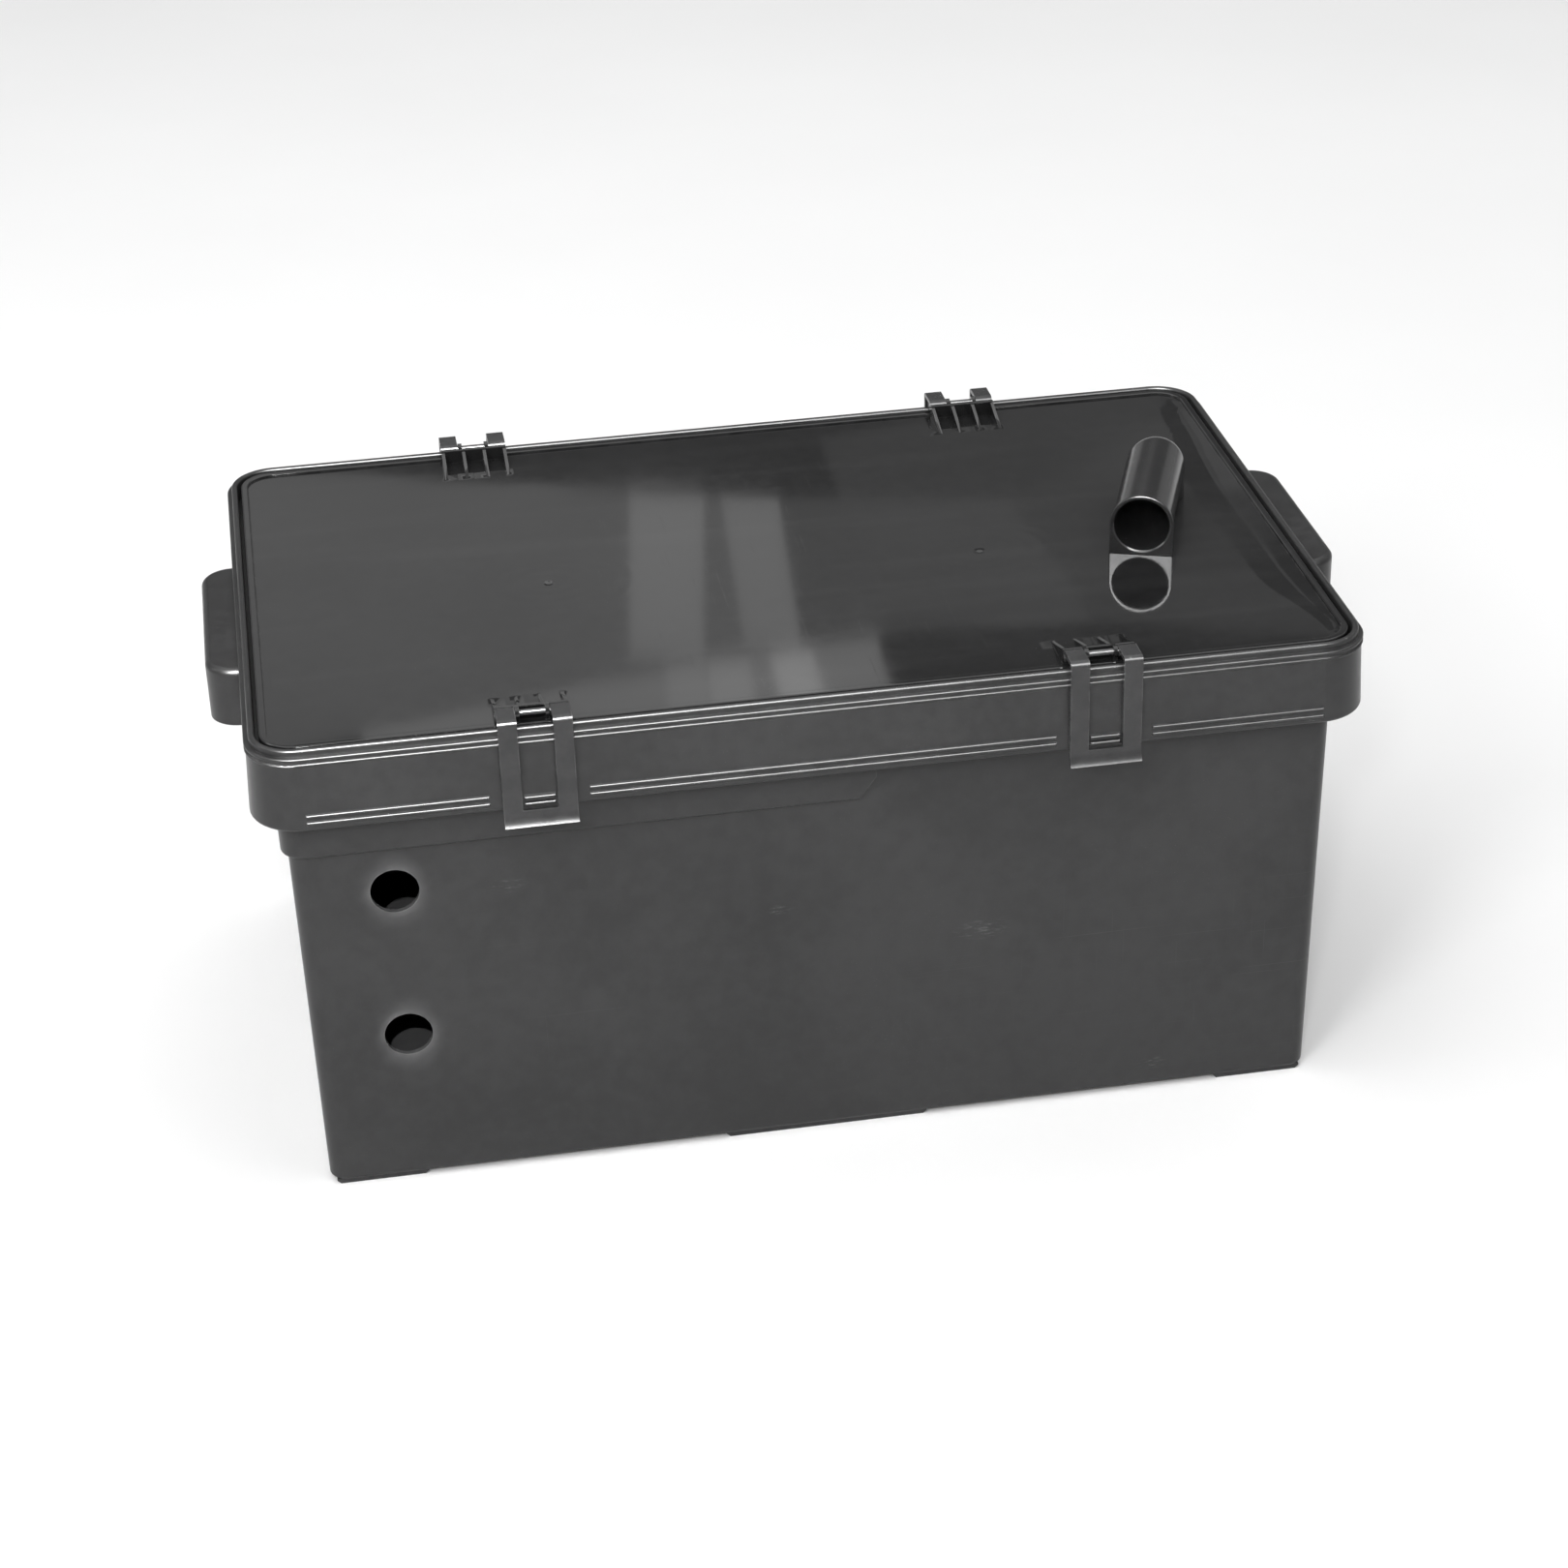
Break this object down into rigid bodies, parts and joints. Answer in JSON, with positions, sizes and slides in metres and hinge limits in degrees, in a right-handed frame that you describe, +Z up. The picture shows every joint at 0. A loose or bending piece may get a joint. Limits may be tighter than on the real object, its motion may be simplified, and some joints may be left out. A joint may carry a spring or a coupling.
{
  "type": "battery box",
  "caption": "Vented outdoor battery box: an open-topped tub with end hand holds, a drop-in lid held by swinging latches, side conduit holes and a turnable vent hood.",
  "frame": {"origin": "under the middle of the box, on the surface that its feet stand on", "axes": "+Z up, +X along the long side towards the vented end, -Y out of the front wall, which has the conduit holes"},
  "size_m": [0.6842, 0.4124, 0.343],
  "materials": {
    "tub_plastic": "satin dark grey polypropylene",
    "lid_plastic": "smooth glossy dark grey polypropylene",
    "latch_plastic": "semi-gloss grey nylon",
    "vent_plastic": "semi-gloss dark grey",
    "pin_plastic": "smooth turned rod",
    "seal_rubber": "matt closed-cell foam rubber"
  },
  "bodies": {
    "box": {"tub": "tub_plastic", "lid_seal": "seal_rubber"},
    "lid": {"lid": "lid_plastic", "latch_pin_front_left": "pin_plastic", "latch_pin_front_right": "pin_plastic", "latch_pin_rear_left": "pin_plastic", "latch_pin_rear_right": "pin_plastic"},
    "vent": {"vent_hood": "vent_plastic", "vent_spigot": "vent_plastic", "vent_nut": "vent_plastic"},
    "latch_front_left": {"latch_front_left": "latch_plastic"},
    "latch_front_right": {"latch_front_right": "latch_plastic"},
    "latch_rear_left": {"latch_rear_left": "latch_plastic"},
    "latch_rear_right": {"latch_rear_right": "latch_plastic"}
  },
  "joints": [
    {"name": "lid_lift", "type": "slide", "parent": "box", "child": "lid", "axis": [0, 0, 1], "range_m": [0, 0.1]},
    {"name": "vent_swivel", "type": "hinge", "parent": "lid", "child": "vent", "pos_m": [0.2535, 0.0308, 0.3043], "axis": [0, 0, 1], "range_deg": [-180, 43]},
    {"name": "latch_front_left_hinge", "type": "hinge", "parent": "lid", "child": "latch_front_left", "pos_m": [-0.1624, -0.18725, 0.3111], "axis": [-1, 0, 0], "range_deg": [0, 105]},
    {"name": "latch_front_right_hinge", "type": "hinge", "parent": "lid", "child": "latch_front_right", "pos_m": [0.1624, -0.18725, 0.3111], "axis": [-1, 0, 0], "range_deg": [0, 105]},
    {"name": "latch_rear_left_hinge", "type": "hinge", "parent": "lid", "child": "latch_rear_left", "pos_m": [-0.1624, 0.18725, 0.3111], "axis": [1, 0, 0], "range_deg": [0, 105]},
    {"name": "latch_rear_right_hinge", "type": "hinge", "parent": "lid", "child": "latch_rear_right", "pos_m": [0.1624, 0.18725, 0.3111], "axis": [1, 0, 0], "range_deg": [0, 105]}
  ]
}
